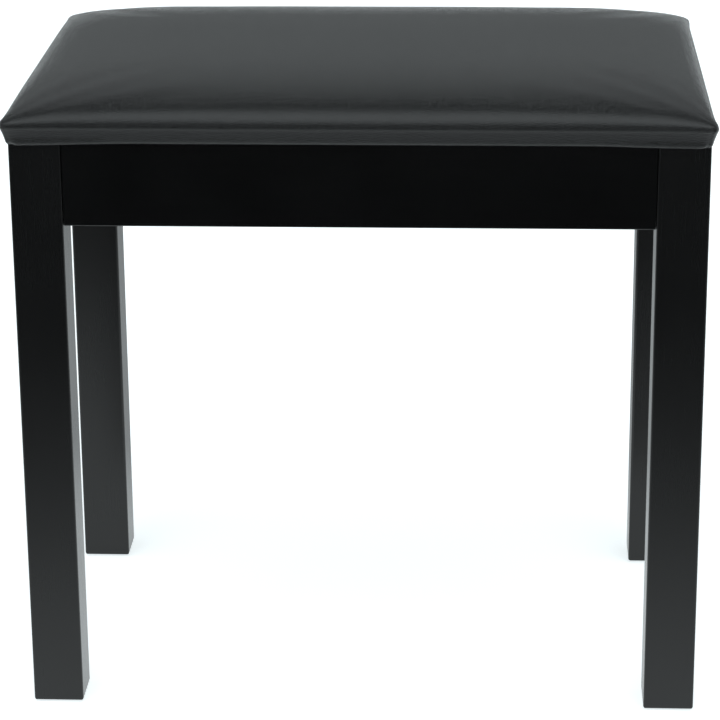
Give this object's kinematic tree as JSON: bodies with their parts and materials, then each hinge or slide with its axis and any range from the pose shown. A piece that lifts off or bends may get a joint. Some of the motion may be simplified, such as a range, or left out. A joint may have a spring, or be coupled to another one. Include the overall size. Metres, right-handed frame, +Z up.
{
  "type": "piano bench",
  "caption": "Rectangular piano bench with square straight legs, deep aprons and a padded leatherette seat that lifts as a hinged lid over a shallow storage compartment.",
  "frame": {"origin": "on the floor, under the middle of the seat", "axes": "+X along the bench's width, -Y towards the front, +Z up"},
  "size_m": [0.523, 0.358, 0.5],
  "materials": {
    "black_paint": "satin black paint on wood",
    "leatherette": "soft black leatherette with a fine pebbled grain",
    "plywood": "unfinished plywood",
    "foam": "open-cell foam",
    "hardboard": "black coated hardboard",
    "dust_cloth": "black non-woven dust cloth",
    "raw_wood": "planed softwood",
    "zinc_steel": "bright zinc plating",
    "yellow_zinc_steel": "yellow zinc plating",
    "rubber": "matt rubber",
    "nylon": "moulded nylon"
  },
  "bodies": {
    "frame": {"apron_front": "black_paint", "apron_left": "black_paint", "apron_rear": "black_paint", "apron_right": "black_paint", "apron_screw_left_left": "yellow_zinc_steel", "apron_screw_left_middle": "yellow_zinc_steel", "apron_screw_left_right": "yellow_zinc_steel", "apron_screw_right_left": "yellow_zinc_steel", "apron_screw_right_middle": "yellow_zinc_steel", "apron_screw_right_right": "yellow_zinc_steel", "corner_block_front_left": "raw_wood", "corner_block_front_right": "raw_wood", "corner_block_rear_left": "raw_wood", "corner_block_rear_right": "raw_wood", "floor_batten_front": "raw_wood", "floor_batten_left": "raw_wood", "floor_batten_rear": "raw_wood", "floor_batten_right": "raw_wood", "glide_front_left": "nylon", "glide_front_right": "nylon", "glide_rear_left": "nylon", "glide_rear_right": "nylon", "hinge_fixed_leaf_left": "zinc_steel", "hinge_fixed_leaf_right": "zinc_steel", "leg_bolt_lower_front_left": "zinc_steel", "leg_bolt_lower_front_right": "zinc_steel", "leg_bolt_lower_rear_left": "zinc_steel", "leg_bolt_lower_rear_right": "zinc_steel", "leg_bolt_upper_front_left": "zinc_steel", "leg_bolt_upper_front_right": "zinc_steel", "leg_bolt_upper_rear_left": "zinc_steel", "leg_bolt_upper_rear_right": "zinc_steel", "leg_front_left": "black_paint", "leg_front_right": "black_paint", "leg_rear_left": "black_paint", "leg_rear_right": "black_paint", "rest_pad_front_left": "rubber", "rest_pad_front_right": "rubber", "rest_pad_rear_left": "rubber", "rest_pad_rear_right": "rubber", "storage_floor": "hardboard"},
    "lid": {"dust_cover": "dust_cloth", "foam_pad": "foam", "hinge_moving_leaf_left": "zinc_steel", "hinge_moving_leaf_right": "zinc_steel", "hinge_pin_left": "zinc_steel", "hinge_pin_right": "zinc_steel", "lid_board": "plywood", "lid_screw_left_left": "yellow_zinc_steel", "lid_screw_left_middle": "yellow_zinc_steel", "lid_screw_left_right": "yellow_zinc_steel", "lid_screw_right_left": "yellow_zinc_steel", "lid_screw_right_middle": "yellow_zinc_steel", "lid_screw_right_right": "yellow_zinc_steel", "seat_cover": "leatherette"}
  },
  "joints": [
    {"name": "lid_hinge", "type": "hinge", "parent": "frame", "child": "lid", "pos_m": [0, 0.1683, 0.4572], "axis": [-1, 0, 0], "range_deg": [0, 105]}
  ]
}
